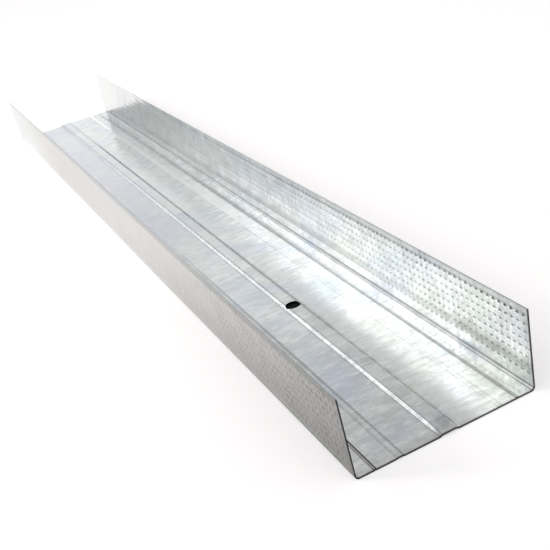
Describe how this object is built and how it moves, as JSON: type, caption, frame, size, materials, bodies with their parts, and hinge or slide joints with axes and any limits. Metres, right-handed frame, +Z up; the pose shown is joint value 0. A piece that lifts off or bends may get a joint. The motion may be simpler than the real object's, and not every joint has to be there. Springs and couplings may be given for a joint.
{
  "type": "drywall track",
  "caption": "U-shaped galvanised steel track for partition walls, with knurled flanges, a ribbed web and a punched fixing hole.",
  "frame": {"origin": "middle of the web's underside, on the floor", "axes": "+X across the web, +Y along the track away from the punched end, +Z up between the flanges"},
  "size_m": [0.0736, 0.536, 0.032],
  "materials": {
    "galvanised_steel": "bright zinc coating, mottled and faintly streaked, with dull cut edges"
  },
  "bodies": {
    "root": {"track": "galvanised_steel"}
  },
  "joints": []
}
